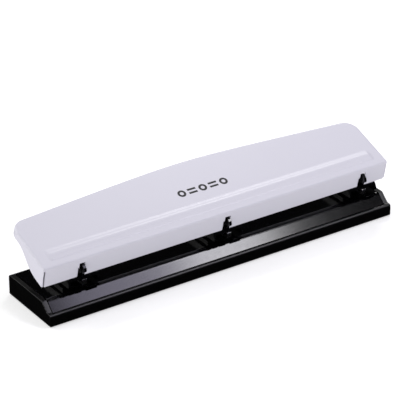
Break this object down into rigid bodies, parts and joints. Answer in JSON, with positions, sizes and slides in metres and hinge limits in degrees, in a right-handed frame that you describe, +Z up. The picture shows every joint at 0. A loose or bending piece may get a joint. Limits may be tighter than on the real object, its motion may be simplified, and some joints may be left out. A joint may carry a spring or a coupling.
{
  "type": "three-hole punch",
  "caption": "Desktop three-hole paper punch: a long white sheet-steel handle hinged over a black base with a ramped deck, punch heads and a pull-off chip tray.",
  "frame": {"origin": "middle of the outline, on the surface that the rubber feet stand on", "axes": "+Z up, +X along the length with the front towards -Y, where the paper goes in; the handle's free edge is at the rear, +Y"},
  "size_m": [0.2638, 0.055, 0.0556],
  "materials": {
    "handle_paint": "semi-gloss white powder paint with a faint lilac cast",
    "black_paint": "high-gloss black paint",
    "tray_plastic": "glossy moulded black plastic",
    "plain_steel": "zinc-plated steel",
    "hard_steel": "ground hardened steel",
    "spring_wire": "bright spring wire",
    "foot_rubber": "matt black rubber"
  },
  "bodies": {
    "base": {"base_plate": "black_paint", "head_frame_left": "black_paint", "guide_plate_left": "plain_steel", "die_bushing_left": "hard_steel", "rivet_left_left": "plain_steel", "rivet_left_right": "plain_steel", "return_spring_left": "spring_wire", "head_frame_center": "black_paint", "guide_plate_center": "plain_steel", "die_bushing_center": "hard_steel", "rivet_center_left": "plain_steel", "rivet_center_right": "plain_steel", "return_spring_center": "spring_wire", "head_frame_right": "black_paint", "guide_plate_right": "plain_steel", "die_bushing_right": "hard_steel", "rivet_right_left": "plain_steel", "rivet_right_right": "plain_steel", "return_spring_right": "spring_wire", "pivot_rod": "plain_steel", "rod_clip_left": "spring_wire", "rod_clip_right": "spring_wire"},
    "tray": {"chip_tray": "tray_plastic", "rubber_foot_front_left": "foot_rubber", "rubber_foot_front_right": "foot_rubber", "rubber_foot_rear_left": "foot_rubber", "rubber_foot_rear_right": "foot_rubber"},
    "handle": {"handle": "handle_paint"},
    "punch_left": {"punch_pin_left": "hard_steel", "spring_retainer_left": "plain_steel"},
    "punch_center": {"punch_pin_center": "hard_steel", "spring_retainer_center": "plain_steel"},
    "punch_right": {"punch_pin_right": "hard_steel", "spring_retainer_right": "plain_steel"}
  },
  "joints": [
    {"name": "handle_hinge", "type": "hinge", "parent": "base", "child": "handle", "pos_m": [0, -0.01576, 0.0297], "axis": [-1, 0, 0], "range_deg": [0, 18.3], "stiffness_Nm_per_rad": 1, "springref_deg": -17.19},
    {"name": "punch_left_slide", "type": "slide", "parent": "base", "child": "punch_left", "axis": [0, 0, -1], "range_m": [0, 0.0042], "deforming": ["return_spring_left"]},
    {"name": "punch_center_slide", "type": "slide", "parent": "base", "child": "punch_center", "axis": [0, 0, -1], "range_m": [0, 0.0042], "deforming": ["return_spring_center"]},
    {"name": "punch_right_slide", "type": "slide", "parent": "base", "child": "punch_right", "axis": [0, 0, -1], "range_m": [0, 0.0042], "deforming": ["return_spring_right"]},
    {"name": "tray_slide", "type": "slide", "parent": "base", "child": "tray", "axis": [0, 0, -1], "range_m": [0, 0.016]}
  ],
  "couplings": [
    {"joint": "punch_left_slide", "follows": "handle_hinge", "m_per_rad": 0.013148},
    {"joint": "punch_center_slide", "follows": "handle_hinge", "m_per_rad": 0.013148},
    {"joint": "punch_right_slide", "follows": "handle_hinge", "m_per_rad": 0.013148}
  ]
}
